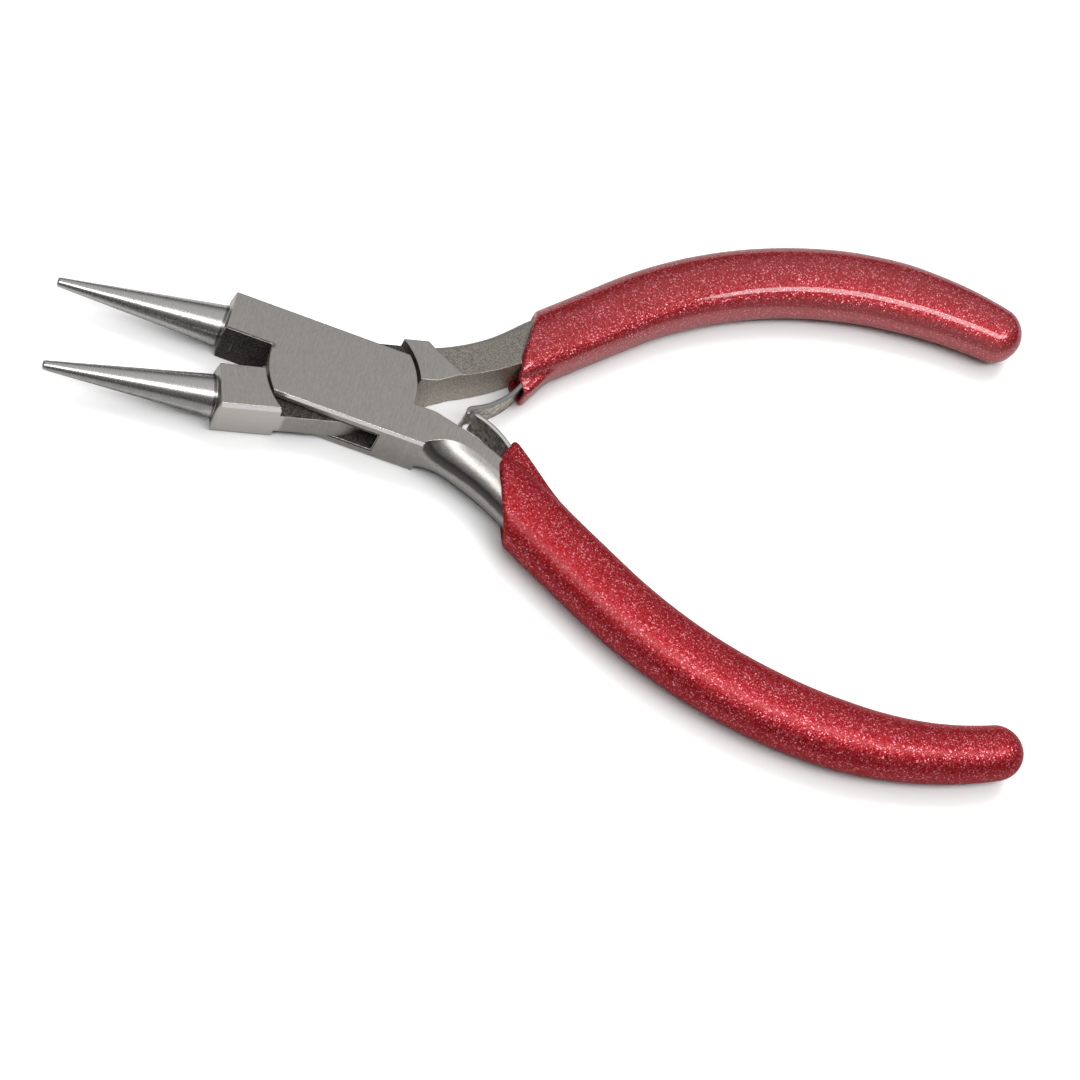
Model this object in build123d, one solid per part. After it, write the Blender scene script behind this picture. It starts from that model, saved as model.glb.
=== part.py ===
from build123d import *
import os
from math import cos, radians, sin, sqrt

# Round nose pliers with a box joint, two leaf springs and dipped grips.
#
# Frame: origin on the pivot axis, at the face the pliers lie on. +Z is the pivot axis and
# +X points to the jaw tips. The pliers are at rest, held open by their springs.
#
# Each half is drawn closed, in a flat frame of its own: U points to the jaw tips, V to that
# half's own jaw. The closing line is V = 0, and the handle lies on the other side, at V < 0.
# "inner" is the side that faces the closing line, "outer" the side that faces away from it.

# ---- joint
THICKNESS = 6.1                 # both halves, face to face
MID = THICKNESS / 2             # height of the middle plane
REST_OPENING = 16.8             # angle between the halves at rest, degrees
HALF_WIDTH = 5.1                # of the joint, from the closing line to its outer faces
CHEEK_JAW_SIDE = 5.35           # the same for the cheeks, on their own jaw's side
CHEEK_FAR_SIDE = 4.95           # and on the other side
WAIST_THICKNESS = 3.1           # of the inner half, where it passes through the box half
SLOT_HEIGHT = 3.2               # of the slot that it passes through
SLOT_RADIUS = 7.45              # closed ends of the slot
RELIEF_DEPTH = 0.45             # how much higher the slot is filed where the waist swings out
RELIEF_START = 0.6              # U where that filing begins
RELIEF_FULL = 3.2               # and where it reaches its depth
RELIEF_WIDTH = 1.6              # how far it goes in from the cheek's edge
WAIST_RADIUS = 7.2              # reach of the waist along the closing line
WAIST_LOBE = [                  # outline of the waist in front of the pivot; behind it, the same
    (0, 0),
    (WAIST_RADIUS, 0),
    (6.6, -2.4),
    (4.0, -3.1),
    (0, -HALF_WIDTH),
]
CHEEK_FRONT_RADIUS = 8.1        # rounded ends of the cheeks
CHEEK_REAR_RADIUS = 8.2
CHEEK_CORNER_RADIUS = 0.9       # of the rear corner on the jaw's side
JAW_SHOULDER_RADIUS = 8.45      # hollow shoulders of the inner half, which pass round them
HANDLE_SHOULDER_RADIUS = 8.65
PIVOT_DIAMETER = 3.6
PIVOT_CLEARANCE = 0.03          # radial, in the waist; the cheeks grip the rivet
BOX_CHAMFER = (0.15, 0.45)      # ground along the long outer edges: width, height
INNER_CHAMFER = (0.22, 0.60)    # the same, inner half

# ---- jaws
BLOCK_FRONT = 13.3              # front of the square block that carries the cone, at its faces
BLOCK_BULGE = 0.35              # how far the front stands proud at the middle plane
BOX_BLOCK_INNER = 0.45          # V of the block's inner face, box half
INNER_BLOCK_INNER = 0.15        # V of the same face, inner half
CONE_TIP = 31.6
CONE_TIP_RADIUS = 0.5
CONE_BASE_RADIUS = 2.35
CONE_GAP = 0.1                  # from the cone to the closing line
CONE_ROOT = 1.0                 # length of the cone inside the block

# ---- handles
ROOT_INNER = -0.5               # V of the handle root's inner face, box half
INNER_ROOT_INNER = -0.3         # the same, inner half
ROOT_END = -10.5                # U where the root passes into the handle
SHOULDER_END = -9.8             # U of the outer corner of the inner half's raised shoulder
SHOULDER_SLANT = (-13.4, -1.4)  # its inner corner
SHOULDER_CORNER = (-10.5, -4.25)        # where its slanting edge meets the cut outer corner
ROOT_CENTRE = (ROOT_INNER - HALF_WIDTH) / 2     # V of the centre line there
BEND_RADIUS = 31.0
BEND_START_ANGLE = 8.0          # slope of the handle where it leaves the root, degrees
HANDLE_ANGLE = 28.5             # slope of its straight run
HANDLE_STRAIGHT = 14.0
HANDLE_BOW_RADIUS = 58.0
TAIL_RADIUS = 45.0
TAIL_TURN = 29.9
HANDLE_BARE = 0.21              # shares of the centre line: where the shaped steel ends, in the grip
STEEL_END = 0.90                # and where the core inside the grip ends
CORE_STEPS = 12
BAR_INNER = 1.95                # from the centre line to the steel's inner face
BAR_OUTER = 2.5                 # and to its outer side, in the grip
CORE_HALF_HEIGHT = 2.4

# ---- springs
LEAF_THICKNESS = 0.5
LEAF_WIDTH = 3.5
LEAF_TAB = 2.9                  # flat tab that the rivet holds
LEAF_ROOT_RADIUS = 2.6
LEAF_ROOT_TURN = 36.5
LEAF_BOW_RADIUS = 9.6
LEAF_BOW_TURN = 55.0
LEAF_HOOK = 0.55                # lip on the end of one leaf, round the end of the other
LEAF_HOOK_TURN = 75
LEAF_SHORT_TURN = 2.6           # how much sooner the plain leaf ends, degrees of its bow
SEAT_CLEARANCE = 0.42           # under the tab, where the leaf works
SPRING_PLACE = 0.1726           # share of the handle's centre line where the rivet stands
SPRING_RIVET_DIAMETER = 1.5
SPRING_RIVET_HEAD = 2.6
SPRING_RIVET_HEAD_HEIGHT = 0.5
SPRING_RIVET_GRIP = 1.5         # depth of the shank in the handle
SPRING_HOLE_CLEARANCE = 0.3     # round the shank, in the tab
SEAT_LENGTH = 6.4
SEAT_SHIFT = -0.9               # from the rivet to the middle of the seat

# ---- grips
GRIP_THICKNESS = 6.4
BOX_GRIP_WIDTHS = [             # share of the centre line, and width there
    (0.0, 8.1),
    (0.6, 8.1),
    (0.72, 7.8),
    (0.86, 6.7),
    (1.0, 5.9),
]
INNER_GRIP_WIDTHS = [           # the same; this grip is dipped thicker towards its tail
    (0.0, 7.6),
    (0.3, 7.8),
    (0.7, 8.9),
    (0.8, 8.9),
    (0.9, 8.0),
    (1.0, 6.6),
]
GRIP_THICKNESSES = [            # for both
    (0.0, GRIP_THICKNESS),
    (0.7, GRIP_THICKNESS),
    (1.0, 5.7),
]
GRIP_END_RADIUS = 2.9
GRIP_MOUTH = -19.3              # U of the mouth, at the closing line
GRIP_MOUTH_SLANT = 0.24         # how fast the mouth draws back towards the outer side
GRIP_STEPS = 16
GRIP_START = 0.06               # share of the centre line where the blank begins, ahead of the mouth
POCKET_SIDE_CLEARANCE = 0.35    # beside the leaf
POCKET_BEHIND = 0.7             # behind its tab
POCKET_FLAT = 2.2               # how far in front of the rivet it stays level
POCKET_FRONT = [                # its roof, from over the rivet to the mouth: along, and off the face
    (-3.6, 2.6),
    (-9.0, 7.0),
]

BOX = -1                        # side of the closing line on which each half has its jaw
INNER = 1


def place(solid, side):
    """Move a solid from a half's own closed frame into the pliers at rest."""
    if side == BOX:
        solid = mirror(solid, about=Plane.XZ)
    return Rot(0, 0, side * REST_OPENING / 2) * solid


def band(u_low, u_high, v_low, v_high):
    """A flat rectangle between two corners."""
    return Pos((u_low + u_high) / 2, (v_low + v_high) / 2) * Rectangle(u_high - u_low, v_high - v_low)


def raised(flat, low, high):
    """A flat shape made solid between two heights."""
    return Pos(0, 0, low) * extrude(flat, high - low)


def centre_line():
    """The handle's centre line, from the root to the tip of the grip."""
    start = Vector(ROOT_END, ROOT_CENTRE)
    direction = Vector(-cos(radians(BEND_START_ANGLE)), -sin(radians(BEND_START_ANGLE)))
    bend = JernArc(start, direction, BEND_RADIUS, HANDLE_ANGLE - BEND_START_ANGLE)
    straight = Line(bend @ 1, bend @ 1 + (bend % 1) * HANDLE_STRAIGHT)
    bow = JernArc(straight @ 1, straight % 1, HANDLE_BOW_RADIUS, -HANDLE_ANGLE)
    tail = JernArc(bow @ 1, bow % 1, TAIL_RADIUS, -TAIL_TURN)
    return Wire([bend.edge(), straight.edge(), bow.edge(), tail.edge()])


CENTRE = centre_line()


def station(share, height=MID):
    """Plane across the handle: its x points to the outer side and its y up."""
    here = CENTRE.position_at(share)
    along = CENTRE.tangent_at(share)
    return Plane(origin=(here.X, here.Y, height), x_dir=(-along.Y, along.X, 0), z_dir=along)


def handle_section(share, inner, outer, half_height, round_depth, fullness=0.70):
    """Section of the steel: flat towards the closing line, round on the outer side."""
    flat = outer - round_depth
    bulge = (flat + round_depth * fullness, half_height * fullness)
    outline = [
        Line((-inner, -half_height), (-inner, half_height)),
        Line((-inner, half_height), (flat, half_height)),
        ThreePointArc((flat, half_height), bulge, (outer, 0)),
        ThreePointArc((outer, 0), (bulge[0], -bulge[1]), (flat, -half_height)),
        Line((flat, -half_height), (-inner, -half_height)),
    ]
    return station(share) * make_face(outline)


def handle(shapes):
    """The bare steel behind the joint, and the plainer core that the grip hides."""
    last = len(shapes) - 1
    bare = [handle_section(HANDLE_BARE * i / last, *shape) for i, shape in enumerate(shapes)]
    core = [bare[-1]]
    for step in range(1, CORE_STEPS + 1):
        done = step / CORE_STEPS
        share = HANDLE_BARE + (STEEL_END - HANDLE_BARE) * done
        core.append(handle_section(share, BAR_INNER - 0.45 * done, BAR_OUTER - 0.9 * done,
                                   CORE_HALF_HEIGHT - 0.8 * done, 1.2))
    return loft(bare) + loft(core, ruled=True)


def box_handle():
    """Handle of the box half: its outer side is milled round behind the joint."""
    steel = handle([
        (ROOT_INNER - ROOT_CENTRE, ROOT_CENTRE + CHEEK_FAR_SIDE, MID, 0.25),
        (2.10, 2.22, MID, 2.1, 0.66),
        (2.00, 2.20, 3.00, 2.7, 0.68),
        (BAR_INNER, 2.20, 2.92, 2.7),
        (BAR_INNER, 2.22, 2.80, 2.6),
        (BAR_INNER, 2.27, 2.70, 2.5),
        (BAR_INNER, 2.32, 2.55, 2.4),
        (BAR_INNER, 2.32, CORE_HALF_HEIGHT, 2.2),
    ])
    return steel & raised(band(-90, 0, -30, 0), 0, THICKNESS)


def inner_handle():
    """Handle of the inner half: a plain forged bar, a little lower than the joint's faces."""
    shapes = [
        (1.95, 2.87), (1.95, 2.86), (2.00, 2.84), (2.08, 2.80),
        (2.22, 2.74), (2.40, 2.66), (BAR_OUTER, 2.55), (BAR_OUTER, CORE_HALF_HEIGHT),
    ]
    return handle([(BAR_INNER, outer, height, 0.5, 0.85) for outer, height in shapes])


def edge_chamfers(u_low, u_high, v_face, size):
    """The two slivers ground off the long edges of an outer face, above and below."""
    width, height = size
    corner = Vector(0, v_face, THICKNESS)
    inward = Vector(0, -v_face / abs(v_face) * width, 0)
    down = Vector(0, 0, -height)
    section = make_face(Polyline(corner, corner + inward, corner + down, close=True))
    top = Pos(u_low, 0, 0) * extrude(section, u_high - u_low, dir=(1, 0, 0))
    bottom = mirror(top, about=Plane.XY.offset(MID))
    return [top, bottom]


def block_front():
    """What lies in front of the block's bulged end face."""
    radius = (MID ** 2 + BLOCK_BULGE ** 2) / (2 * BLOCK_BULGE)
    centre = BLOCK_FRONT + BLOCK_BULGE - radius
    blank = Pos(BLOCK_FRONT + 2, 0, MID) * Box(8, 4 * HALF_WIDTH, 2 * THICKNESS)
    bulge = Pos(centre, 0, MID) * Rot(90, 0, 0) * Cylinder(radius, 8 * HALF_WIDTH)
    return blank - bulge


def jaw_cone():
    """The round jaw: a cone whose inner side runs along the closing line."""
    slope = (CONE_BASE_RADIUS - CONE_TIP_RADIUS) / (CONE_TIP - BLOCK_FRONT)
    base = Vector(BLOCK_FRONT, CONE_BASE_RADIUS + CONE_GAP, MID)
    tip = Vector(CONE_TIP, CONE_TIP_RADIUS + CONE_GAP, MID)
    along = (tip - base).normalized()
    start = base - along * CONE_ROOT
    length = (tip - start).length
    cone = Cone(CONE_BASE_RADIUS + slope * CONE_ROOT, CONE_TIP_RADIUS, length,
                align=(Align.CENTER, Align.CENTER, Align.MIN))
    end_edge = cone.edges().filter_by(GeomType.CIRCLE).sort_by(Axis.Z)[-1]
    cone = fillet(end_edge, CONE_TIP_RADIUS * 0.5)
    return Plane(origin=start, z_dir=along) * cone


def slot_reliefs():
    """Where the slot is filed wider at the sides that the waist swings out of."""
    reach = CHEEK_FRONT_RADIUS + 1
    roof = SLOT_HEIGHT / 2
    section = Polyline((reach, 0, 0), (reach, 0, roof + RELIEF_DEPTH), (RELIEF_FULL, 0, roof + RELIEF_DEPTH),
                       (RELIEF_START, 0, roof), (RELIEF_START, 0, 0), close=True)
    upper = Pos(0, -CHEEK_FAR_SIDE - 1, MID) * extrude(make_face(section), RELIEF_WIDTH + 1, dir=(0, 1, 0))
    front = [upper, mirror(upper, about=Plane.XY.offset(MID))]
    turn = Rot(0, 0, 180)
    return front + [turn * piece for piece in front]


def root_wedge():
    """The sliver of the root between its square end and the handle's slanting first section."""
    half_root = ROOT_INNER - ROOT_CENTRE
    slope = radians(BEND_START_ANGLE)
    corner = (ROOT_END - half_root * sin(slope), ROOT_CENTRE + half_root * cos(slope))
    return make_face(Polyline((ROOT_END, ROOT_CENTRE), (ROOT_END, ROOT_INNER), corner, close=True))


def box_half():
    """The half with two cheeks and a slot between them."""
    reach = BLOCK_FRONT + 1
    outline = band(ROOT_END, reach, -CHEEK_FAR_SIDE, CHEEK_JAW_SIDE)
    outline -= band(0, reach + 1, -8, BOX_BLOCK_INNER) - Circle(CHEEK_FRONT_RADIUS)
    outline -= band(ROOT_END - 1, 0, ROOT_INNER, 8) - Circle(CHEEK_REAR_RADIUS)
    corners = outline.vertices().filter_by(lambda p: p.Y > CHEEK_JAW_SIDE - 0.1 and p.X < 0)
    outline = fillet(corners, CHEEK_CORNER_RADIUS) + root_wedge()
    body = raised(outline, 0, THICKNESS)
    slot = Circle(SLOT_RADIUS)
    slot += band(0, reach + 1, -8, BOX_BLOCK_INNER)
    slot += band(ROOT_END - 1, 0, ROOT_INNER, 8)
    body -= raised(slot, MID - SLOT_HEIGHT / 2, MID + SLOT_HEIGHT / 2)
    body -= block_front()
    body -= slot_reliefs()
    body -= edge_chamfers(ROOT_END, reach, CHEEK_JAW_SIDE, BOX_CHAMFER)
    body -= edge_chamfers(ROOT_END, reach, -CHEEK_FAR_SIDE, BOX_CHAMFER)
    body -= Pos(0, 0, MID) * Cylinder(PIVOT_DIAMETER / 2, 2 * THICKNESS)
    return body + jaw_cone() + (box_handle() - spring_seat() - spring_rivet())


def inner_half():
    """The half whose thin waist passes through the slot."""
    reach = BLOCK_FRONT + 1
    block = band(0, reach, INNER_BLOCK_INNER, HALF_WIDTH) - Circle(JAW_SHOULDER_RADIUS)
    shoulder = make_face(Polyline(
        (0, INNER_ROOT_INNER), (ROOT_END, INNER_ROOT_INNER), SHOULDER_SLANT, SHOULDER_CORNER,
        (SHOULDER_END, -HALF_WIDTH), (0, -HALF_WIDTH), close=True)) - Circle(HANDLE_SHOULDER_RADIUS)
    waist = Circle(HALF_WIDTH)
    waist += band(0, reach, INNER_BLOCK_INNER, HALF_WIDTH)
    waist += band(SHOULDER_END, 0, -HALF_WIDTH, INNER_ROOT_INNER)
    for turn in (0, 180):
        waist += Rot(0, 0, turn) * make_face(Polyline(*WAIST_LOBE, close=True))
    body = raised(block, 0, THICKNESS)
    body += raised(shoulder, 0, THICKNESS)
    body += raised(waist, MID - WAIST_THICKNESS / 2, MID + WAIST_THICKNESS / 2)
    body -= block_front()
    body -= edge_chamfers(JAW_SHOULDER_RADIUS / 2, reach, HALF_WIDTH, INNER_CHAMFER)
    bore = PIVOT_DIAMETER / 2 + PIVOT_CLEARANCE
    body -= Pos(0, 0, MID) * Cylinder(bore, 2 * THICKNESS)
    return body + jaw_cone() + (inner_handle() - spring_seat() - spring_rivet())


def pivot_rivet():
    """The joint's rivet, ground flush with both cheeks."""
    return Pos(0, 0, MID) * Cylinder(PIVOT_DIAMETER / 2, THICKNESS)


def spring_anchor():
    """Where the leaf's rivet stands, on the handle's inner face; x runs away from the joint."""
    here = station(SPRING_PLACE)
    outward = here.x_dir
    face = here.origin - outward * BAR_INNER
    return Plane(origin=face, x_dir=here.z_dir, z_dir=-outward)


ANCHOR = spring_anchor()
LEAF_LEVEL = LEAF_THICKNESS / 2 + 0.05      # middle of the tab over the handle's inner face
HEAD_LEVEL = LEAF_THICKNESS + 0.45          # underside of the rivet's head over that face


def spring_seat():
    """Shallow flat milled in the handle's inner face, under the leaf's tab."""
    seat = Box(SEAT_LENGTH, LEAF_WIDTH + 0.8, 2 * SEAT_CLEARANCE)
    return ANCHOR * Pos(SEAT_SHIFT, 0, 0) * seat


def leaf_spring(bow_turn, hook):
    """A leaf: a tab on the handle, a sharp bend away from it and a long bow to the tip."""
    tab_end = ANCHOR * Pos(LEAF_TAB / 2, 0, LEAF_LEVEL)
    start = Vector(tab_end.position.X, tab_end.position.Y, MID)
    forward = -ANCHOR.x_dir
    tab = Line(start, start + forward * LEAF_TAB)
    root = JernArc(tab @ 1, tab % 1, LEAF_ROOT_RADIUS, LEAF_ROOT_TURN)
    bow = JernArc(root @ 1, root % 1, LEAF_BOW_RADIUS, -bow_turn)
    runs = [tab.edge(), root.edge(), bow.edge()]
    if hook:
        lip_bend = JernArc(bow @ 1, bow % 1, LEAF_THICKNESS, LEAF_HOOK_TURN)
        lip = Line(lip_bend @ 1, lip_bend @ 1 + (lip_bend % 1) * (LEAF_HOOK - LEAF_THICKNESS / 2))
        runs += [lip_bend.edge(), lip.edge()]
    path = Wire(runs)
    section = Plane(origin=start, z_dir=forward, x_dir=(0, 0, 1)) * Rectangle(LEAF_WIDTH, LEAF_THICKNESS)
    leaf = sweep(section, path=path)
    hole = ANCHOR * Cylinder(SPRING_RIVET_DIAMETER / 2 + SPRING_HOLE_CLEARANCE, 3)
    return leaf - hole


def spring_rivet():
    """The small rivet that holds a leaf's tab."""
    upright = (Align.CENTER, Align.CENTER, Align.MIN)
    shank = Cylinder(SPRING_RIVET_DIAMETER / 2, SPRING_RIVET_GRIP + HEAD_LEVEL, align=upright)
    head = Cylinder(SPRING_RIVET_HEAD / 2, SPRING_RIVET_HEAD_HEIGHT, align=upright)
    return ANCHOR * (Pos(0, 0, -SPRING_RIVET_GRIP) * shank + Pos(0, 0, HEAD_LEVEL) * head)


def value_at(table, share):
    """Value at a share of the centre line, on straight runs between a table's entries."""
    for (before, low), (after, high) in zip(table, table[1:]):
        if share <= after:
            return low + (high - low) * (share - before) / (after - before)


def grip_section(share, widths):
    """Section of a grip: an oval that narrows to the tail and closes in a round end."""
    width = value_at(widths, share)
    thickness = value_at(GRIP_THICKNESSES, share)
    beyond = max(0, share * CENTRE.length - (CENTRE.length - GRIP_END_RADIUS)) / GRIP_END_RADIUS
    rounding = sqrt(max(0, 1 - beyond ** 2))
    width *= rounding
    thickness *= rounding
    return station(share, GRIP_THICKNESS / 2) * RectangleRounded(width, thickness, thickness * 0.49)


def spring_pocket():
    """Hollow in a grip for the leaf's root, its rivet and their travel."""
    back = LEAF_TAB / 2 + POCKET_BEHIND
    over_rivet = HEAD_LEVEL + SPRING_RIVET_HEAD_HEIGHT + 0.05
    flat = make_face(Polyline(
        (back, -1), (back, over_rivet), (-POCKET_FLAT, over_rivet), *POCKET_FRONT, (POCKET_FRONT[-1][0], -1),
        close=True))
    half = LEAF_WIDTH / 2 + POCKET_SIDE_CLEARANCE
    level = Plane(origin=ANCHOR.origin - Vector(0, 0, half), x_dir=ANCHOR.x_dir, z_dir=(0, 0, 1))
    return level * mirror(extrude(flat, 2 * half), about=Plane.XZ)


def grip(steel, widths):
    """A dipped grip, open at the mouth, with the handle's steel inside it."""
    end_share = GRIP_END_RADIUS / CENTRE.length
    straight = 1 - GRIP_START - end_share
    shares = [GRIP_START + straight * step / GRIP_STEPS for step in range(GRIP_STEPS + 1)]
    shares += [1 - end_share * (1 - step) for step in (0.5, 0.8, 0.97)]
    outer = loft([grip_section(share, widths) for share in shares], ruled=True)
    mouth_shift = GRIP_MOUTH_SLANT * 20
    in_front = make_face(Polyline(
        (GRIP_MOUTH + mouth_shift, 20), (20, 20), (20, -20), (GRIP_MOUTH - mouth_shift, -20), close=True))
    outer -= raised(in_front, -2, THICKNESS + 2)
    return outer - steel - spring_pocket()


def main():
    parts = {
        "box_half": place(box_half(), BOX),
        "inner_half": place(inner_half(), INNER),
        "pivot_rivet": pivot_rivet(),
        "leaf_spring_box": place(leaf_spring(LEAF_BOW_TURN - LEAF_SHORT_TURN, False), BOX),
        "leaf_spring_inner": place(leaf_spring(LEAF_BOW_TURN, True), INNER),
        "spring_rivet_box": place(spring_rivet(), BOX),
        "spring_rivet_inner": place(spring_rivet(), INNER),
        "grip_box": place(grip(box_handle(), BOX_GRIP_WIDTHS), BOX),
        "grip_inner": place(grip(inner_handle(), INNER_GRIP_WIDTHS), INNER),
    }
    os.makedirs("parts", exist_ok=True)
    for name, solid in parts.items():
        export_step(solid, f"parts/{name}.step")


main()
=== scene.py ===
from math import atan2, cos, pi, radians, sin, sqrt

import bmesh
import bpy
from mathutils import Matrix, Vector


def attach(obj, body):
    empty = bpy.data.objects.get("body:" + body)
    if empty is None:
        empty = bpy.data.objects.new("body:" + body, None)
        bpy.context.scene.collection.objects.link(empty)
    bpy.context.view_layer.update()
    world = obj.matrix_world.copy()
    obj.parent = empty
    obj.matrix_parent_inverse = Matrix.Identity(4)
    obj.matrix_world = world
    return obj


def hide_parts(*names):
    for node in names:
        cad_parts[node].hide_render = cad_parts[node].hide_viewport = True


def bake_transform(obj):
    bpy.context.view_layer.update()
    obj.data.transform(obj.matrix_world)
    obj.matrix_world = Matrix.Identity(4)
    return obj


# Looks of the round nose pliers. Lengths are in millimetres until a mesh is made; only the
# studio's are in metres.
#
# Each half is described closed, in a frame of its own: U points to the jaw tips, V to that
# half's own jaw, and the closing line is V = 0. The same frames are used for its materials.

MM = 0.001
BOX = -1                    # side of the closing line on which each half has its jaw
INNER = 1
HALVES = {BOX: "box", INNER: "inner"}
HALF_TURN = 8.4             # how far each half stands open at rest, degrees
THICKNESS = 6.1
MID = THICKNESS / 2

# ---- handles: the centre line of the steel, which the grips follow
LINE_START = (-10.5, -2.8)
LINE_SLOPE = 8.0            # at its start, degrees
LINE_RUNS = [               # length or radius, and turn in degrees; no turn is a straight run
    (31.0, 20.5),
    (14.0, 0.0),
    (58.0, -28.5),
    (45.0, -29.9),
]
LINE_STEP = 0.25            # between points of a bent line

# ---- grips: width and height
GRIP_WIDTHS = {             # share of the centre line, and width there
    BOX: [(0.0, 8.1), (0.6, 8.1), (0.72, 7.8), (0.86, 6.7), (1.0, 5.9)],
    INNER: [(0.0, 7.6), (0.3, 7.8), (0.7, 8.9), (0.8, 8.9), (0.9, 8.0), (1.0, 6.6)],
}
GRIP_HEIGHT = 6.4
GRIP_HEIGHTS = [(0.0, GRIP_HEIGHT), (0.7, GRIP_HEIGHT), (1.0, 5.7)]

# ---- grips: how square a section is, as the power of a superellipse
OUTER_SQUARENESS = 2.0      # of the side in the palm
INNER_SQUARENESS = {BOX: 2.1, INNER: 3.0}   # of the side that faces the other grip
TAIL_SQUARENESS = 2.05      # of that side at the tail
ROUNDER_FROM = 0.15         # shares of the centre line between which it changes
ROUNDER_TO = 0.65

# ---- grips: tail, mouth and bore
GRIP_LENGTH_CUT = 0.3       # how far before the end of the centre line the tail ends
GRIP_END = 3.0              # length of the rounded end
MOUTH = {                   # distance to the outer side, and length along the centre line there
    BOX: [(-4.0, 8.0), (-1.4, 9.2), (1.6, 11.5), (4.0, 13.8)],
    INNER: [(-4.0, 8.5), (-2.6, 9.2), (-1.3, 9.9), (1.4, 12.5), (4.0, 15.3)],
}
MOUTH_TILT = {BOX: 0.35, INNER: 0.0}    # how much further back for each mm lower
LIP_RISE = {BOX: 2.1, INNER: 1.6}       # bulge over the leaf's root, on the inner side
LIP_LENGTH = {BOX: 9.0, INNER: 5.0}
LIP_FADE = 1.5              # power with which the bulge sinks along its length
LIP_HALF_HEIGHT = 1.9
LIP_EDGE = 0.45             # height over which the bulge passes into the sleeve
RIM_DEPTH = 0.65            # of the rounded rim
BORE_OUTER = 2.3            # the bore's half width, to the palm
BORE_INNER = 3.0            # and to the other grip, where it leaves room for the leaf
BORE_HALF_HEIGHT = 2.35
BORE_RINGS = (6.0, 4.0, 2.5, 1.4)       # depths of its sections behind the mouth

# ---- grips: how finely they are meshed
GRIP_POINTS = 112           # round a section
GRIP_STEP = 0.55            # between sections
RIM_TURN = 20               # degrees between sections of the rounded rim
END_TURN = 6                # and of the rounded end
END_LAST = 0.004            # distance of the last section from the very end
MOUTH_STEPS = 13            # sections that slant as the mouth does
SQUARING_STEPS = 8          # steps from slanting sections to square ones

# ---- springs
LEAF_THICKNESS = 0.5
LEAF_WIDTH = 3.5
LEAF_TAB = 2.9
LEAF_ROOT = (2.6, 36.5)     # radius, and turn in degrees, as are the bow and the hook
LEAF_BOW = (9.6, -55.0)
LEAF_HOOK = (0.5, 75.0)
LEAF_LIP = 0.3
LEAF_SHORT = 2.6            # degrees of bow that the plain leaf lacks
LEAF_CORNER = 0.07          # cut off its corners
LEAF_BEND = 2.2             # how far past the tab the bending of the root reaches
LEAF_PLACE = 0.1726         # share of the centre line where its rivet stands
BAR_INNER = 1.95            # from the centre line to the handle's inner face
LEAF_LEVEL = 0.3            # middle of the tab over that face

# ---- regions of the steel: each pair is where a mask is 0 and where it is 1
CONE_FRONT = (13.0, 13.6)   # along U, from the block to the polished cone
GROOVE_FRONT = (13.5, 13.6)             # the dark line round the cone's foot
GROOVE_BACK = (13.95, 13.8)
# The slot's recess gets painted shade, and the box half's jaw face a painted dark reflection.
SLOT_HEIGHT = {BOX: (1.95, 1.85), INNER: (1.70, 1.62)}      # from the middle plane
SLOT_REACH = {BOX: (7.62, 7.52), INNER: (9.2, 8.7)}         # from the pivot
WAIST_FACING = (0.5, 0.8)   # only the waist's flat faces get the painted shade, not its sides
JAW_FACE_LOW = (0.0, 0.2)   # along V, the face that meets the other jaw block, darkened by a painted dark reflection
JAW_FACE_HIGH = (0.75, 0.55)
JAW_FACE_BACK = (7.5, 8.2)  # and along U
JAW_FACE_FRONT = (14.0, 13.2)
MILLED_FRONT = (-8.6, -9.4)             # along U, the box half's round handle root
MILLED_FACING = (0.995, 0.97)
FORGED_SLANT = 0.78         # the edge between ground and forged steel: U + slant x V
FORGED_FRONT = (-13.62, -13.82)
FORGED_TOP = (THICKNESS - 0.005, THICKNESS - 0.02)
FORGED_SIDE_FRONT = (-8.3, -9.0)
FORGED_SIDE_FACING = (0.5, 0.3)
BLOCK_SIDE_BACK = (6.0, 6.4)            # the inner half's pale block side
BLOCK_SIDE_FACING = (0.3, 0.2)
DARK_REFLECTION_UPPER = (0.66, 0.54)   # facing of the painted dark reflection, a band along a round surface
DARK_REFLECTION_LOWER = (0.18, 0.34)
CONE_DARK_REFLECTION = 0.6             # how strongly it shows on the cones
MILLED_DARK_REFLECTION = 0.95          # and on the milled root
GROOVE_SHARE = 0.75

# ---- wear of the steel's edges, and the painted highlight on them
EDGE_RADIUS = 0.13
SEAM_RADIUS = 0.0001        # round the rivet, whose seam is ground away
SEAM_REACH = (2.3, 2.1)     # from the pivot
SEAM_FACING = (0.8, 0.9)
WEAR_AND_HIGHLIGHT_LIKENESS = (0.985, 0.88)           # cosine between the rounded and the flat surface
WEAR_AND_HIGHLIGHT_SHARE = 0.8
LONG_EDGE_MIDDLE = 1.4      # along U, of the cheeks' long edges, brightened by a painted highlight
LONG_EDGE_HALF = (11.9, 11.7)
LONG_EDGE_LEVEL = (4.55, 4.65)          # distance from V = 0
LONG_EDGE_LOWER = (0.12, 0.2)           # their facing
LONG_EDGE_UPPER = (0.6, 0.5)

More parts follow.
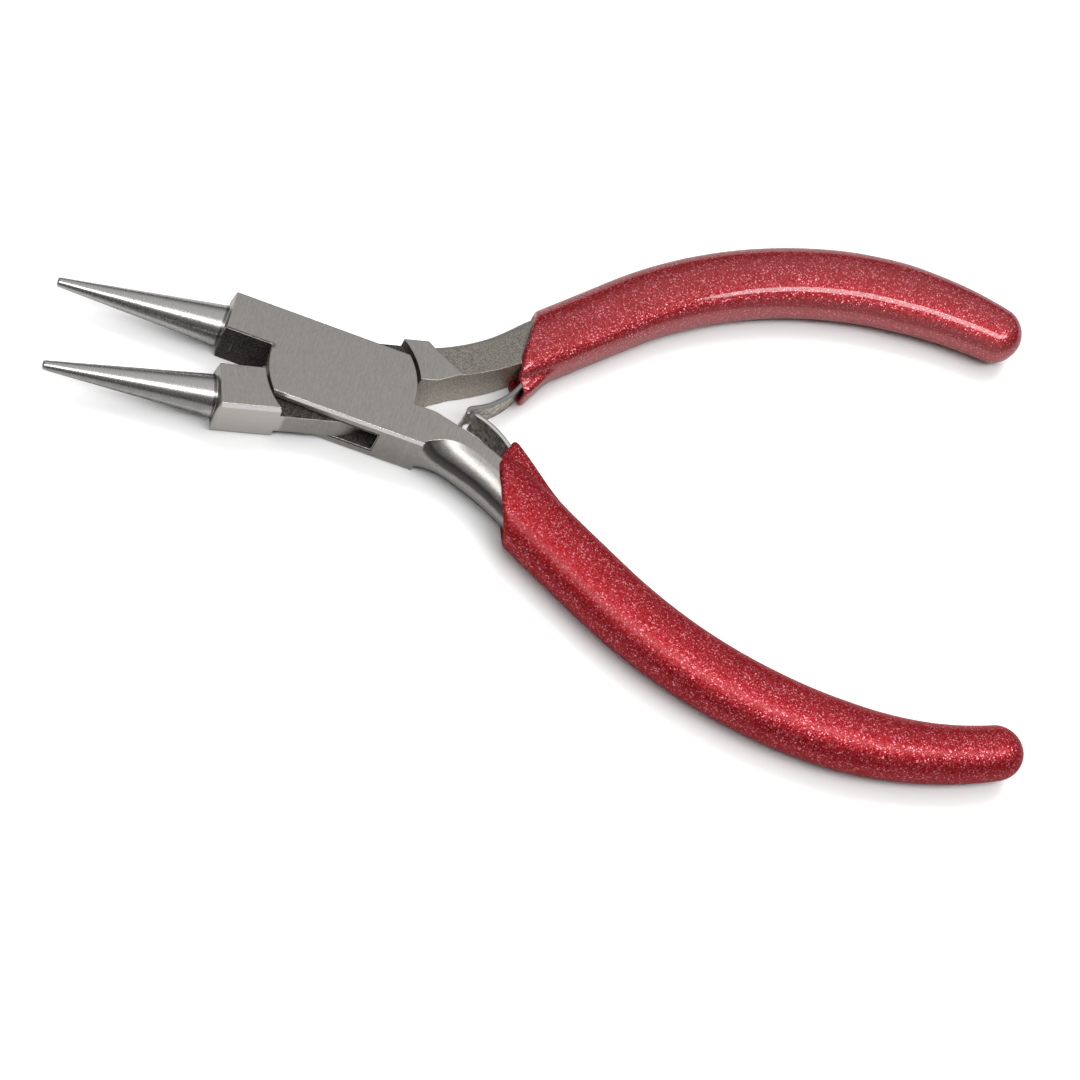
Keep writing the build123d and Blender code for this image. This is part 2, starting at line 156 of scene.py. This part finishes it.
# ---- springs and vinyl
SPRING_TONES_WITH_PAINTED_LIGHT = {            # dark, pale and edge grey, each with painted light in it
    BOX: (0.12, 0.40, 0.85),
    INNER: (0.30, 0.80, 0.38),
}
SKIN_GLOSS = {              # weight, roughness and refraction of the vinyl's skin
    BOX: (0.3, 0.25, 1.5),
    INNER: (1.0, 0.05, 1.55),
}
FLAKES_PER_MM = 8.5
FLAKE_PICK = (0.86, 0.99)   # a cell's random number, from no flake to a bright one
VINYL_DEEP = (0.27, 0.002, 0.003, 1)
VINYL_RED = (0.32, 0.004, 0.006, 1)
VINYL_FLOOR_REFLECTION = (0.46, 0.12, 0.115, 1)     # a painted reflection of the floor, on the side that faces the other grip
VINYL_DUST = (0.60, 0.075, 0.100, 1)    # of the many faint flakes
VINYL_FLAKE = (0.84, 0.29, 0.34, 1)
VINYL_TINT = (0.60, 0.04, 0.05, 1)

# ---- camera
CAMERA_PLACE = (50.70, 169.23, 276.25)
CAMERA_TARGET = (-24.02, 13.07, 3.05)
CAMERA_ROLL = 34.3
CAMERA_VIEW = 20.3          # width of view, degrees

# ---- studio, in metres
FLOOR_REACH = 3.0
FLOOR_TONES = (0.78, 0.80)
FLOOR_DIM = 0.36            # what the object mirrors of the floor
SKY_BRIGHT_AT = (-0.23, -0.35, 0.91)    # direction in which the surroundings are palest
SKY_EDGE = 0.50             # cosine of the angle from it where they are dim
SKY_MIDDLE = 0.97           # and where they are palest
SKY_LOW = 0.09
SKY_HIGH = 0.60
LIGHT_AIM = (-0.02, 0, 0)
STRIP_PLACE = (-0.06, 0.21, 0.60)
STRIP_SIZE = (1.00, 0.15)
STRIP_POWER = 3.0
STRIP_TURN = 16.0
WINDOW_PLACE = (-0.10, -0.45, 0.60)
WINDOW_SIZE = (0.5, 0.5)
WINDOW_POWER = 5.1
CEILING_PLACE = (0, 0, 0.9)
CEILING_SIZE = (1.0, 1.0)
CEILING_POWER = 5.6

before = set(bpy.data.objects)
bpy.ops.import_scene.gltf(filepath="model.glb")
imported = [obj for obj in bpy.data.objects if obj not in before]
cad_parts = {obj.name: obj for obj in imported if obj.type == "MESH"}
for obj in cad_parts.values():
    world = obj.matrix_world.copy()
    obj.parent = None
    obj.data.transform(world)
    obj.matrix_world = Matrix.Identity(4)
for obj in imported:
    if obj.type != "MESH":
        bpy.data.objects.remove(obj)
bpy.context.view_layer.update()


# ---------------------------------------------------------------- geometry

def half_matrix(side):
    """Matrix from a half's own closed frame, in mm, to the pliers at rest, in metres."""
    flip = Matrix.Diagonal((1, side, 1, 1))
    return Matrix.Scale(MM, 4) @ Matrix.Rotation(radians(side * HALF_TURN), 4, "Z") @ flip


def follow(start, angle, runs):
    """Points and headings along straight runs and tangent arcs."""
    here = Vector(start)
    points = [(here.copy(), angle)]
    for size, turn in runs:
        length = abs(radians(turn)) * size if turn else size
        count = max(2, round(length / LINE_STEP))
        turn_step = radians(turn) / count
        for _ in range(count):
            heading = angle + turn_step / 2
            here = here + Vector((cos(heading), sin(heading))) * (length / count)
            angle += turn_step
            points.append((here.copy(), angle))
    return points


def measured(points):
    """Length from the first point to each point."""
    lengths = [0.0]
    for (a, _), (b, _) in zip(points, points[1:]):
        lengths.append(lengths[-1] + (b - a).length)
    return lengths


CENTRE = follow(LINE_START, pi + radians(LINE_SLOPE), LINE_RUNS)
CENTRE_LENGTHS = measured(CENTRE)
CENTRE_LENGTH = CENTRE_LENGTHS[-1]
GRIP_TAIL = CENTRE_LENGTH - GRIP_LENGTH_CUT
GRIP_ANGLES = [2 * pi * i / GRIP_POINTS for i in range(GRIP_POINTS)]


def at(length):
    """Point, direction along and direction to the outer side, at a length of the centre line."""
    index = 0
    while index < len(CENTRE) - 2 and CENTRE_LENGTHS[index + 1] < length:
        index += 1
    point, angle = CENTRE[index]
    after, angle_after = CENTRE[index + 1]
    share = (length - CENTRE_LENGTHS[index]) / (CENTRE_LENGTHS[index + 1] - CENTRE_LENGTHS[index])
    angle = angle + (angle_after - angle) * share
    along = Vector((cos(angle), sin(angle)))
    outer = Vector((-along.y, along.x))
    return point.lerp(after, share), along, outer


def new_object(name, data):
    thing = bpy.data.objects.new(name, data)
    bpy.context.scene.collection.objects.link(thing)
    return thing


def mesh_piece(name, rings, side, material, smooth):
    """A closed skin through rings of points, given in a half's own frame in mm."""
    mesh = bmesh.new()
    matrix = half_matrix(side)
    rows = [[mesh.verts.new(matrix @ Vector(point)) for point in ring] for ring in rings]
    count = len(rings[0])
    for row, following in zip(rows, rows[1:]):
        for i in range(count):
            j = (i + 1) % count
            mesh.faces.new((row[i], row[j], following[j], following[i]))
    mesh.faces.new(rows[0])
    mesh.faces.new(rows[-1])
    bmesh.ops.recalc_face_normals(mesh, faces=mesh.faces)
    data = bpy.data.meshes.new(name)
    mesh.to_mesh(data)
    mesh.free()
    data.materials.append(material)
    for polygon in data.polygons:
        polygon.use_smooth = smooth
    return new_object(name, data)


def smooth_step(x):
    x = min(max(x, 0.0), 1.0)
    return x * x * (3 - 2 * x)


def between(points, x):
    """Value at x on a line of straight runs."""
    for (x0, y0), (x1, y1) in zip(points, points[1:]):
        if x <= x1:
            break
    return y0 + (y1 - y0) * (x - x0) / (x1 - x0)


# ---------------------------------------------------------------- materials

class Nodes:
    """Short calls for building a material's node tree. A mask is a value from 0 to 1."""

    def __init__(self, name):
        self.material = bpy.data.materials.new(name)
        self.material.use_nodes = True
        self.tree = self.material.node_tree
        self.tree.nodes.clear()

    def add(self, kind, inputs=None, **settings):
        node = self.tree.nodes.new("ShaderNode" + kind)
        for key, value in settings.items():
            setattr(node, key, value)
        for key, value in (inputs or {}).items():
            socket = node.inputs[key]
            if isinstance(value, bpy.types.NodeSocket):
                self.tree.links.new(value, socket)
            else:
                socket.default_value = value
        return node

    def math(self, operation, *values):
        return self.add("Math", dict(enumerate(values)), operation=operation).outputs[0]

    def vector(self, operation, *values):
        return self.add("VectorMath", dict(enumerate(values)), operation=operation).outputs[0]

    def all_of(self, *masks):
        """1 where every mask is 1."""
        product = masks[0]
        for mask in masks[1:]:
            product = self.math("MULTIPLY", product, mask)
        return product

    def ramp(self, value, low, high, to_low=0.0, to_high=1.0):
        """value brought from low..high to to_low..to_high, softly and clamped."""
        node = self.add("MapRange", {0: value, 1: low, 2: high, 3: to_low, 4: to_high},
                        interpolation_type="SMOOTHSTEP")
        return node.outputs[0]

    def mix(self, share, a, b):
        """Colour a, or b where share is 1."""
        return self.add("Mix", {0: share, 6: a, 7: b}, data_type="RGBA").outputs[2]

    def blend(self, share, a, b):
        """Number a, or b where share is 1."""
        return self.add("Mix", {0: share, 2: a, 3: b}, data_type="FLOAT").outputs[0]

    def tones(self, pattern, a, b):
        """Colours a and b, spread by a noise pattern."""
        return self.mix(self.ramp(pattern, 0.3, 0.7), a, b)

    def noise(self, place, scale, detail=2.0, roughness=0.5):
        node = self.add("TexNoise", {"Vector": place, "Scale": scale, "Detail": detail,
                                     "Roughness": roughness})
        return node.outputs["Fac"]

    def stretched(self, place, scales):
        return self.vector("MULTIPLY", place, scales)

    def half_frame(self, side):
        """The surface point in a half's own frame, in mm."""
        place = self.add("TexCoord").outputs["Object"]
        turned = self.add("Mapping", {"Vector": place, "Rotation": (0, 0, -side * radians(HALF_TURN)),
                                      "Scale": (1 / MM, 1 / MM, 1 / MM)})
        return self.vector("MULTIPLY", turned.outputs[0], (1, side, 1))

    def facing(self, axis):
        """Share of the surface's own direction along an axis of the pliers: 0 is X, 2 is Z."""
        normal = self.add("TexCoord").outputs["Normal"]
        return self.add("SeparateXYZ", {0: normal}).outputs[axis]

    def finish(self, shader):
        self.add("OutputMaterial", {"Surface": shader.outputs[0]})
        return self.material


def grey(value, warmth=0.0):
    return (value * (1 + warmth), value, value * (1 - warmth * 1.3), 1)


class SteelSurface:
    """Where a point of a half is, which way it faces, and the patterns on it."""

    def __init__(self, n, side):
        place = n.half_frame(side)
        self.u, self.v, self.z = n.add("SeparateXYZ", {0: place}).outputs
        self.height = n.math("ABSOLUTE", n.math("SUBTRACT", self.z, MID))
        squares = [n.math("MULTIPLY", value, value) for value in (self.u, self.v)]
        self.reach = n.math("SQRT", n.math("ADD", *squares))
        self.facing = n.math("ABSOLUTE", n.facing(2))
        self.grind = n.noise(n.stretched(place, (9.0, 0.55, 0.55)), 1.0, 3.0, 0.65)
        self.fine = n.noise(n.stretched(place, (26.0, 1.6, 1.6)), 1.0, 2.0, 0.6)
        self.cloud = n.noise(place, 0.35, 2.0)
        self.grain = n.noise(place, 6.0, 3.0, 0.6)


def steel_regions(n, side, s):
    """Masks of the painted shade in the recesses and the painted dark reflection on the jaw face, the
    milled root, the rough forging and the pale block side.

    A half that lacks one of them has None there.
    """
    slot = n.all_of(n.ramp(s.height, *SLOT_HEIGHT[side]), n.ramp(s.reach, *SLOT_REACH[side]))
    if side == BOX:
        jaw_face = n.all_of(n.ramp(s.v, *JAW_FACE_LOW), n.ramp(s.v, *JAW_FACE_HIGH),
                            n.ramp(s.u, *JAW_FACE_BACK), n.ramp(s.u, *JAW_FACE_FRONT))
        # painted shade in the slot and a painted dark reflection on the jaw face
        painted_shade_and_reflection = n.math("MAXIMUM", slot, jaw_face)
        milled = n.all_of(n.ramp(s.u, *MILLED_FRONT), n.ramp(s.facing, *MILLED_FACING))
        return painted_shade_and_reflection, milled, None, None
    # painted shade on the waist's flat faces in the slot
    painted_shade_and_reflection = n.all_of(slot, n.ramp(s.facing, *WAIST_FACING))
    slant = n.math("ADD", s.u, n.math("MULTIPLY", s.v, FORGED_SLANT))
    forged_top = n.all_of(n.ramp(slant, *FORGED_FRONT), n.ramp(s.z, *FORGED_TOP))
    forged_side = n.all_of(n.ramp(s.u, *FORGED_SIDE_FRONT), n.ramp(s.facing, *FORGED_SIDE_FACING))
    forged = n.math("MAXIMUM", forged_top, forged_side)
    block_side = n.all_of(n.ramp(s.u, *BLOCK_SIDE_BACK), n.ramp(s.facing, *BLOCK_SIDE_FACING))
    return painted_shade_and_reflection, None, forged, block_side


def steel_colour(n, s, polished, painted_shade_and_reflection, milled, forged, block_side):
    """Colour, with its painted shade and painted dark reflections, before the edges get their wear and
    painted highlight.
    """
    colour = n.mix(s.cloud, grey(0.405, 0.055), grey(0.445, 0.065))
    colour = n.mix(n.ramp(s.grind, 0.3, 0.7, 0.0, 0.55), colour, grey(0.33, 0.06))
    colour = n.mix(n.ramp(s.fine, 0.35, 0.75, 0.0, 0.45), colour, grey(0.66, 0.05))
    if block_side:
        colour = n.mix(block_side, colour, grey(0.72, 0.05))

    # A painted dark reflection: a band along the polished cones and the milled root.
    painted_dark_reflection = n.all_of(n.ramp(s.facing, *DARK_REFLECTION_UPPER), n.ramp(s.facing, *DARK_REFLECTION_LOWER))
    groove = n.all_of(n.ramp(s.u, *GROOVE_FRONT), n.ramp(s.u, *GROOVE_BACK))
    round_colour = n.tones(s.fine, grey(0.58, 0.03), grey(0.64, 0.02))
    round_colour = n.mix(n.math("MULTIPLY", painted_dark_reflection, CONE_DARK_REFLECTION), round_colour, grey(0.2, 0.04))
    round_colour = n.mix(n.math("MULTIPLY", groove, GROOVE_SHARE), round_colour, grey(0.08, 0.1))
    if milled:
        root_colour = n.tones(s.grain, grey(0.36, 0.05), grey(0.50, 0.04))
        root_colour = n.mix(n.math("MULTIPLY", painted_dark_reflection, MILLED_DARK_REFLECTION), root_colour, grey(0.09, 0.05))
        round_colour = n.mix(milled, round_colour, root_colour)
    colour = n.mix(polished, colour, round_colour)
    if forged:
        forged_colour = n.tones(s.grain, grey(0.20, 0.10), grey(0.46, 0.08))
        pale_forging = n.tones(s.grain, grey(0.42, 0.10), grey(0.85, 0.08))
        forged_colour = n.mix(n.ramp(s.facing, *FORGED_SIDE_FACING), forged_colour, pale_forging)
        colour = n.mix(forged, colour, forged_colour)
    # colour of the painted shade and painted dark reflection, with a grain in it
    painted_shade_colour = n.mix(n.ramp(s.grain, 0.35, 0.7), grey(0.045, 0.10), grey(0.20, 0.06))
    return n.mix(painted_shade_and_reflection, colour, painted_shade_colour)


def steel_wear_and_highlight(n, s, seam, rounded_normal):
    """Mask of the bright edges, partly wear and partly a painted highlight: where the rounded surface
    leaves the flat one, and the cheeks' long edges, whose brightness is a painted highlight only.
    """
    flat_normal = n.add("NewGeometry").outputs["Normal"]
    likeness = n.add("VectorMath", {0: rounded_normal, 1: flat_normal}, operation="DOT_PRODUCT")
    worn_and_highlit = n.ramp(likeness.outputs["Value"], *WEAR_AND_HIGHLIGHT_LIKENESS, 0.0, WEAR_AND_HIGHLIGHT_SHARE)
    from_middle = n.math("ABSOLUTE", n.math("SUBTRACT", s.u, LONG_EDGE_MIDDLE))
    # the cheeks' long edges: a painted highlight
    long_edge_highlight = n.all_of(n.ramp(s.facing, *LONG_EDGE_LOWER), n.ramp(s.facing, *LONG_EDGE_UPPER),
                         n.ramp(n.math("ABSOLUTE", s.v), *LONG_EDGE_LEVEL),
                         n.ramp(from_middle, *LONG_EDGE_HALF))
    return n.math("MAXIMUM", n.blend(seam, worn_and_highlit, 0.0), long_edge_highlight)


def steel(name, side):
    """Ground steel of a half: fine cross grinding, polished cones, rough forging; painted shade in the
    slot, painted dark reflections on the jaw face and along round surfaces, and worn edges that carry
    a painted highlight.
    """
    n = Nodes(name)
    s = SteelSurface(n, side)
    cone = n.ramp(s.u, *CONE_FRONT)
    painted_shade_and_reflection, milled, forged, block_side = steel_regions(n, side, s)
    polished = n.math("MAXIMUM", cone, milled) if milled else cone
    seam = n.all_of(n.ramp(s.reach, *SEAM_REACH), n.ramp(s.facing, *SEAM_FACING))
    edge_radius = n.blend(seam, EDGE_RADIUS * MM, SEAM_RADIUS * MM)
    rounded_normal = n.add("Bevel", {"Radius": edge_radius}, samples=6).outputs[0]

    rough = n.ramp(s.grind, 0.3, 0.7, 0.36, 0.46)
    rough = n.blend(polished, rough, n.ramp(s.fine, 0.3, 0.7, 0.24, 0.29))
    lines = n.math("ADD", n.math("MULTIPLY", s.fine, 0.5), s.grind)
    relief = n.math("MULTIPLY", lines, n.blend(polished, 0.35, 0.015))
    if milled:
        rough = n.blend(milled, rough, n.ramp(s.grain, 0.3, 0.7, 0.34, 0.42))
    if forged:
        rough = n.blend(forged, rough, n.ramp(s.grain, 0.3, 0.7, 0.42, 0.6))
        relief = n.blend(forged, relief, n.math("MULTIPLY", s.grain, 2.0))
    rough = n.blend(painted_shade_and_reflection, rough, 0.7)
    relief = n.blend(painted_shade_and_reflection, relief, n.math("MULTIPLY", s.grain, 3.0))

    worn_and_highlit = steel_wear_and_highlight(n, s, seam, rounded_normal)
    colour = steel_colour(n, s, polished, painted_shade_and_reflection, milled, forged, block_side)
    bump = n.add("Bump", {"Strength": 0.35, "Distance": 0.01 * MM, "Height": relief,
                          "Normal": rounded_normal})
    # Worn edges are paler and smoother: partly wear, partly a painted highlight.
    shader = n.add("BsdfPrincipled", {
        "Base Color": n.mix(worn_and_highlit, colour, grey(0.85, 0.02)), "Metallic": 1.0,
        "Roughness": n.blend(worn_and_highlit, rough, 0.25), "Normal": bump.outputs[0]})
    return n.finish(shader)


def spring_steel(name, side):
    """Mottled rolled strip; its edges are paler or darker and its tones differ per leaf, both by
    painted light.
    """
    n = Nodes(name)
    place = n.half_frame(side)
    mottle = n.noise(place, 1.8, 3.0, 0.65)
    streak = n.noise(n.stretched(place, (5.0, 5.0, 1.0)), 1.0, 2.0)
    # The two leaves are one steel: the inner leaf is paler by a painted reflection of the floor, the
    # box leaf darker by painted shade.
    low, high, rim = SPRING_TONES_WITH_PAINTED_LIGHT[side]
    colour = n.mix(n.ramp(mottle, 0.3, 0.72), grey(low, 0.10), grey(high, 0.08))
    colour = n.mix(n.ramp(streak, 0.45, 0.75, 0.0, 0.35), colour, grey(0.6, 0.06))
    # The edge faces get a grey of painted light: a painted highlight on the box leaf, a darker grey on
    # the inner one.
    edge_painted_light = n.ramp(n.math("ABSOLUTE", n.facing(2)), 0.3, 0.5)
    colour = n.mix(edge_painted_light, colour, grey(rim))
    rounded = n.add("Bevel", {"Radius": 0.08 * MM}, samples=4)
    bump = n.add("Bump", {"Strength": 0.4, "Distance": 0.01 * MM, "Height": mottle,
                          "Normal": rounded.outputs[0]})
    shader = n.add("BsdfPrincipled", {
        "Base Color": colour, "Metallic": 1.0, "Roughness": n.ramp(mottle, 0.3, 0.7, 0.5, 0.34),
        "Normal": bump.outputs[0]})
    return n.finish(shader)


def glitter_vinyl(name, side):
    """Red vinyl full of fine flakes, each a cell with its own tone and tilt, under a glossy skin. The
    side that faces the other grip is paler by a painted reflection of the floor.
    """
    n = Nodes(name)
    place = n.half_frame(side)
    cell = n.add("TexVoronoi", {"Vector": place, "Scale": FLAKES_PER_MM}).outputs["Color"]
    pick = n.add("SeparateColor", {0: cell}).outputs[0]
    flake = n.ramp(pick, *FLAKE_PICK)
    facing_in = n.math("MULTIPLY", n.facing(1), side)

    colour = n.mix(n.noise(place, 0.25, 2.0), VINYL_DEEP, VINYL_RED)
    # Painted reflection of the floor on the side that faces the other grip.
    colour = n.mix(n.ramp(facing_in, 0.45, 0.9, 0.0, 0.8), colour, VINYL_FLOOR_REFLECTION)
    colour = n.mix(n.ramp(pick, 0.15, 0.95, 0.0, 0.6), colour, VINYL_DUST)
    colour = n.mix(flake, colour, VINYL_FLAKE)

    tilt = n.vector("SUBTRACT", n.stretched(cell, (0.8, 0.8, 0.8)), (0.4, 0.4, 0.4))
    tilt = n.add("VectorMath", {0: tilt, "Scale": n.blend(flake, 0.3, 0.5)}, operation="SCALE")
    straight = n.add("NewGeometry").outputs["Normal"]
    tilted = n.vector("NORMALIZE", n.vector("ADD", straight, tilt.outputs[0]))
    skin = n.add("Bump", {"Strength": 0.25, "Distance": 0.05 * MM, "Height": n.noise(place, 0.8, 2.0)})
    gloss, haze, refraction = SKIN_GLOSS[side]
    shader = n.add("BsdfPrincipled", {
        "Base Color": colour, "Metallic": 0.80, "Roughness": n.blend(flake, 0.50, 0.34),
        "Normal": tilted, "Specular Tint": VINYL_TINT,
        "Coat Weight": gloss, "Coat Roughness": haze, "Coat IOR": refraction,
        "Coat Normal": skin.outputs[0]})
    return n.finish(shader)


def floor_paper():
    """Pale paper. What the object mirrors of it is dimmer, as if only its middle were lit."""
    n = Nodes("floor_paper")
    fibres = n.noise(n.add("TexCoord").outputs["Object"], 40.0, 2.0)
    tone = n.mix(fibres, grey(FLOOR_TONES[0]), grey(FLOOR_TONES[1]))
    dim = n.mix(fibres, grey(FLOOR_DIM), grey(FLOOR_DIM * 1.05))
    mirrored = n.add("LightPath").outputs["Is Glossy Ray"]
    shader = n.add("BsdfPrincipled", {"Base Color": n.mix(mirrored, tone, dim), "Roughness": 0.9,
                                      "Specular IOR Level": 0.1})
    return n.finish(shader)


# ---------------------------------------------------------------- grips

def oval(angle, half_width, half_height, squareness):
    """Point of a section: squarer on the inner side, rounder on the outer side."""
    c, s = cos(angle), sin(angle)
    power = OUTER_SQUARENESS + (squareness - OUTER_SQUARENESS) * smooth_step(0.5 - c)
    scale = (abs(c) ** power + abs(s) ** power) ** (-1 / power)
    return c * scale * half_width, s * scale * half_height


def grip_point(side, angle, length, rise=0.0, depth=0.0):
    """Point of a sleeve: on the skin at depth 0, on the bore at depth 1. rise is the bulge's."""
    share = length / CENTRE_LENGTH
    rounder = smooth_step((share - ROUNDER_FROM) / (ROUNDER_TO - ROUNDER_FROM))
    square = INNER_SQUARENESS[side] + (TAIL_SQUARENESS - INNER_SQUARENESS[side]) * rounder
    half_width = between(GRIP_WIDTHS[side], share) / 2
    half_height = between(GRIP_HEIGHTS, share) / 2
    skin_x, skin_y = oval(angle, half_width, half_height, square)
    bore_x, bore_y = oval(angle, BORE_OUTER, BORE_HALF_HEIGHT, square)
    if bore_x < 0:
        bore_x *= BORE_INNER / BORE_OUTER
    beyond = max(0.0, length - (GRIP_TAIL - GRIP_END)) / GRIP_END
    rounding = sqrt(max(0.0, 1 - beyond ** 2))
    lip = smooth_step((LIP_HALF_HEIGHT - abs(skin_y)) / LIP_EDGE) if skin_x < 0 else 0.0
    x = skin_x * rounding * (1 - depth) + bore_x * depth - rise * lip
    y = skin_y * rounding * (1 - depth) + bore_y * depth
    point, _, outer = at(length)
    spot = point + outer * x
    return spot.x, spot.y, GRIP_HEIGHT / 2 + y


def mouth_ring(side, behind, depth=0.0):
    """Section that slants as the mouth does, this far behind it."""
    fade = min(1.0, max(0.0, 1 - behind / LIP_LENGTH[side])) ** LIP_FADE
    half_width = GRIP_WIDTHS[side][0][1] / 2
    points = []
    for angle in GRIP_ANGLES:
        x, y = oval(angle, half_width, GRIP_HEIGHT / 2, INNER_SQUARENESS[side])
        length = between(MOUTH[side], x) - MOUTH_TILT[side] * y + behind
        points.append(grip_point(side, angle, length, LIP_RISE[side] * fade, depth))
    return points


def tail_ring(side, from_tail):
    """Section square to the centre line, this far before the end of the tail."""
    return [grip_point(side, angle, GRIP_TAIL - from_tail) for angle in GRIP_ANGLES]


def grip(name, side, material):
    """A dipped sleeve: rounded slanting mouth, a bulge over the leaf's root, and a round tail."""
    rings = [mouth_ring(side, behind, 1.0) for behind in BORE_RINGS]
    for turn in range(0, 181, RIM_TURN):
        rim = radians(turn)
        rings.append(mouth_ring(side, RIM_DEPTH * (1 - sin(rim)), (1 + cos(rim)) / 2))
    for step in range(1, MOUTH_STEPS + 1):
        rings.append(mouth_ring(side, RIM_DEPTH + GRIP_STEP * step))
    behind = RIM_DEPTH + GRIP_STEP * MOUTH_STEPS
    from_tail = GRIP_TAIL - MOUTH[side][-1][1] - behind
    for step in range(1, SQUARING_STEPS):
        share = step / SQUARING_STEPS
        front = mouth_ring(side, behind + GRIP_STEP * step)
        back = tail_ring(side, from_tail - GRIP_STEP * step)
        rings.append([tuple(Vector(p).lerp(Vector(q), share)) for p, q in zip(front, back)])
    from_tail -= GRIP_STEP * SQUARING_STEPS
    while from_tail > GRIP_END:
        rings.append(tail_ring(side, from_tail))
        from_tail -= GRIP_STEP
    for turn in range(0, 90, END_TURN):
        rings.append(tail_ring(side, GRIP_END * (1 - sin(radians(turn)))))
    rings.append(tail_ring(side, END_LAST))
    return mesh_piece(name, rings, side, material, smooth=True)


# ---------------------------------------------------------------- springs

def leaf_ring(spot, angle, half, tall):
    """Section of the strip: a rectangle with its corners cut."""
    normal = Vector((-sin(angle), cos(angle)))
    ring = []
    for sx, sz in ((1, 1), (-1, 1), (-1, -1), (1, -1)):
        corners = [(half - LEAF_CORNER, tall), (half, tall - LEAF_CORNER)]
        if sx * sz < 0:
            corners.reverse()
        for x, z in corners:
            p = spot + normal * x * sx
            ring.append((p.x, p.y, MID + z * sz))
    return ring


def leaf(name, side, material, hook):
    """A strip bent from its tab on the handle to its tip, and both ends of its root's bending."""
    point, along, outer = at(LEAF_PLACE * CENTRE_LENGTH)
    start = point - outer * (BAR_INNER + LEAF_LEVEL) + along * LEAF_TAB / 2
    bow = LEAF_BOW if hook else (LEAF_BOW[0], LEAF_BOW[1] + LEAF_SHORT)
    runs = [(LEAF_TAB, 0.0), LEAF_ROOT, bow]
    if hook:
        runs += [LEAF_HOOK, (LEAF_LIP, 0.0)]
    path = follow(start, atan2(-along.y, -along.x), runs)
    rings = []
    for index, (spot, angle) in enumerate(path):
        cut = LEAF_CORNER if index in (0, len(path) - 1) else 0.0
        rings.append(leaf_ring(spot, angle, LEAF_THICKNESS / 2 - cut, LEAF_WIDTH / 2 - cut))
    piece = mesh_piece(name, rings, side, material, smooth=False)
    matrix = half_matrix(side)
    bend_end = start - along * (LEAF_TAB + LEAF_BEND)
    bend_from = matrix @ Vector((start.x, start.y, MID))
    bend_to = matrix @ Vector((bend_end.x, bend_end.y, MID))
    return piece, bend_from, bend_to


# ---------------------------------------------------------------- floor, lights and camera

def floor_sheet():
    """A square of paper in the plane that the pliers lie on."""
    data = bpy.data.meshes.new("floor")
    corners = [(x * FLOOR_REACH, y * FLOOR_REACH, 0) for x, y in ((-1, -1), (1, -1), (1, 1), (-1, 1))]
    data.from_pydata(corners, [], [(0, 1, 2, 3)])
    data.materials.append(floor_paper())
    return new_object("floor", data)


def soft_box(name, place, size, power, turn=0.0):
    """A rectangular light that faces the pliers; its length lies along X, then turned about Z."""
    light = bpy.data.lights.new(name, "AREA")
    light.shape = "RECTANGLE"
    light.size, light.size_y = size
    light.energy = power
    lamp = new_object(name, light)
    back = (Vector(place) - Vector(LIGHT_AIM)).normalized()
    length = Vector((cos(radians(turn)), sin(radians(turn)), 0))
    length = (length - back * length.dot(back)).normalized()
    across = back.cross(length)
    turned = Matrix((length, across, back)).transposed().to_4x4()
    lamp.matrix_world = Matrix.Translation(place) @ turned
    return lamp


def surroundings():
    """A dim sky with one pale soft patch, which the steel mirrors."""
    world = bpy.data.worlds.new("studio")
    world.use_nodes = True
    sky = world.node_tree
    towards = sky.nodes.new("ShaderNodeVectorMath")
    towards.operation = "DOT_PRODUCT"
    towards.inputs[1].default_value = Vector(SKY_BRIGHT_AT).normalized()
    sky.links.new(sky.nodes.new("ShaderNodeTexCoord").outputs["Generated"], towards.inputs[0])
    fade = sky.nodes.new("ShaderNodeMapRange")
    fade.interpolation_type = "SMOOTHSTEP"
    sky.links.new(towards.outputs["Value"], fade.inputs[0])
    for index, value in enumerate((SKY_EDGE, SKY_MIDDLE, SKY_LOW, SKY_HIGH)):
        fade.inputs[index + 1].default_value = value
    sky.links.new(fade.outputs[0], sky.nodes["Background"].inputs["Strength"])
    sky.nodes["Background"].inputs["Color"].default_value = (1, 1, 1, 1)
    return world


def photo_camera():
    """A camera where the photo was taken from."""
    data = bpy.data.cameras.new("camera")
    data.angle = radians(CAMERA_VIEW)
    camera = new_object("camera", data)
    camera.location = Vector(CAMERA_PLACE) * MM
    look = (Vector(CAMERA_TARGET) - Vector(CAMERA_PLACE)).to_track_quat("-Z", "Y").to_matrix()
    camera.rotation_euler = (look @ Matrix.Rotation(radians(CAMERA_ROLL), 3, "Z")).to_euler()
    return camera


# ---------------------------------------------------------------- build

def paint(node, material):
    """Give a CAD node this material alone."""
    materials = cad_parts[node].data.materials
    materials.clear()
    materials.append(material)


for side, word in HALVES.items():
    handle_body = word + "_body"
    steel_material = steel("ground_steel_" + word, side)
    paint(word + "_half", steel_material)
    if side == BOX:
        paint("pivot_rivet", steel_material)
    vinyl = glitter_vinyl("glitter_vinyl_" + word, side)
    sleeve = grip("sleeve_" + word, side, vinyl)
    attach(sleeve, handle_body)
    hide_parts("grip_" + word)
    strip_material = spring_steel("spring_steel_" + word, side)
    paint("spring_rivet_" + word, strip_material)
    strip, bend_from, bend_to = leaf("leaf_" + word, side, strip_material, hook=side == INNER)
    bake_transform(strip)
    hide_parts("leaf_spring_" + word)

floor = floor_sheet()

soft_box("strip", STRIP_PLACE, STRIP_SIZE, STRIP_POWER, STRIP_TURN)
window = soft_box("window", WINDOW_PLACE, WINDOW_SIZE, WINDOW_POWER)
window.visible_glossy = False
ceiling = soft_box("ceiling", CEILING_PLACE, CEILING_SIZE, CEILING_POWER)
ceiling.visible_glossy = False

bpy.context.scene.world = surroundings()
bpy.context.scene.view_settings.view_transform = "Standard"
bpy.context.scene.camera = photo_camera()
